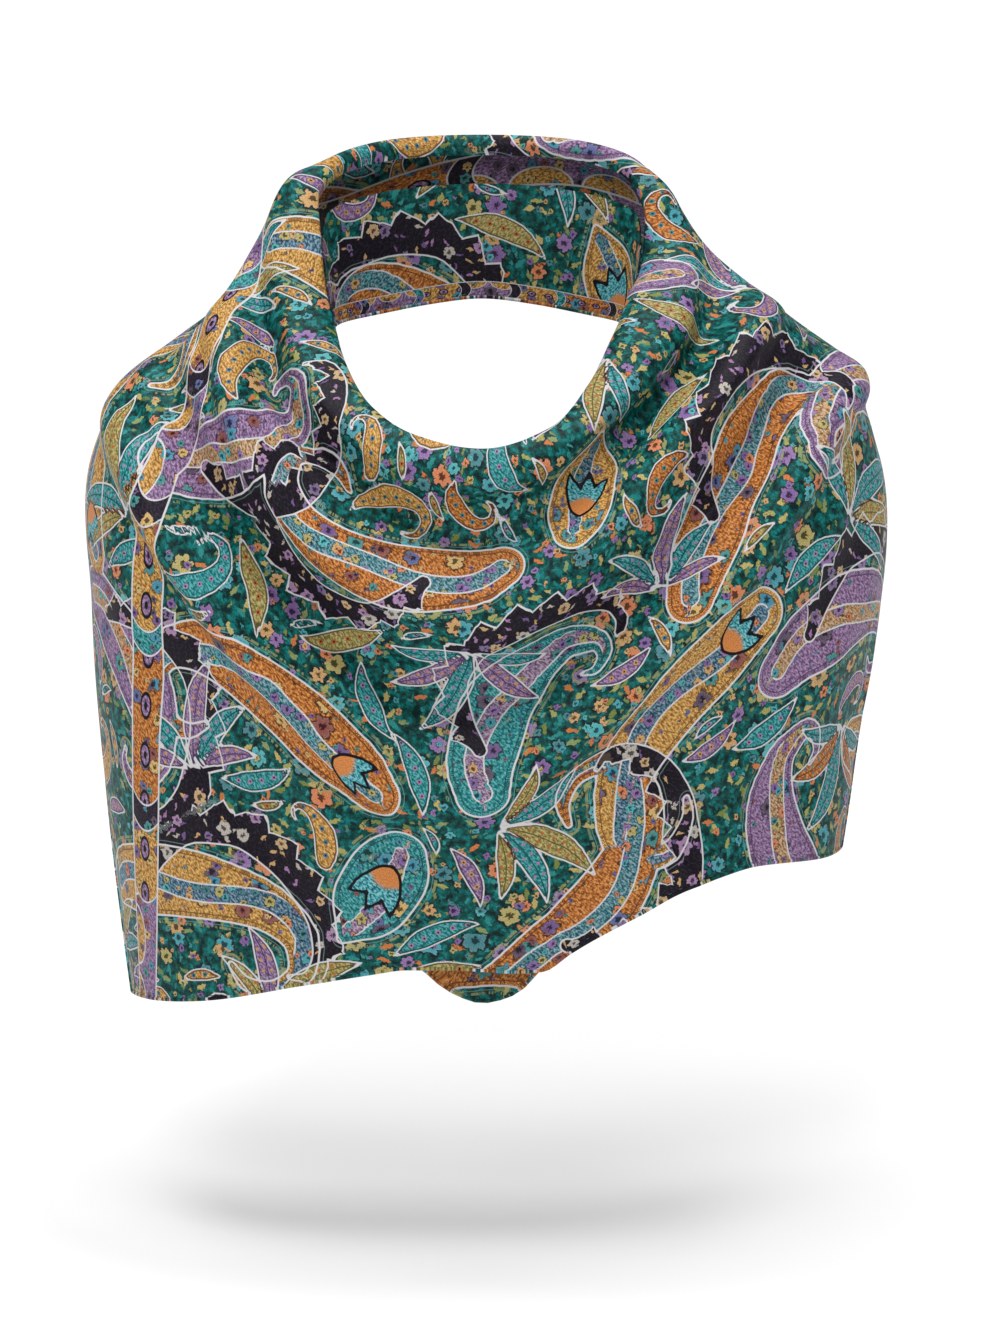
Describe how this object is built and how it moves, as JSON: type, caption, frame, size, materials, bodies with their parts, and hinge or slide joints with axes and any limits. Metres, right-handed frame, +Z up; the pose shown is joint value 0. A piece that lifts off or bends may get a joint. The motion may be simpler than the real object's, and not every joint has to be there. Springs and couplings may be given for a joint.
{
  "type": "silk square scarf",
  "caption": "Printed silk square folded from corner to corner and worn as a cowl over chest and shoulders, its ends wound round the back of the neck.",
  "frame": {"origin": "middle of the neck opening, at the height of the neckline's lowest point in front", "axes": "+X to the viewer's right when seen from in front, +Y to the wearer's back, +Z up"},
  "size_m": [0.487, 0.2392, 0.513],
  "materials": {
    "printed_silk": "silk twill printed with paisley on a deep teal ground, soft sheen",
    "printed_silk_reverse": "reverse side of the same printed silk twill, a little duller"
  },
  "bodies": {
    "root": {"front_ply": "printed_silk", "under_ply": "printed_silk_reverse", "outer_collar": "printed_silk", "inner_band": "printed_silk"}
  },
  "joints": []
}
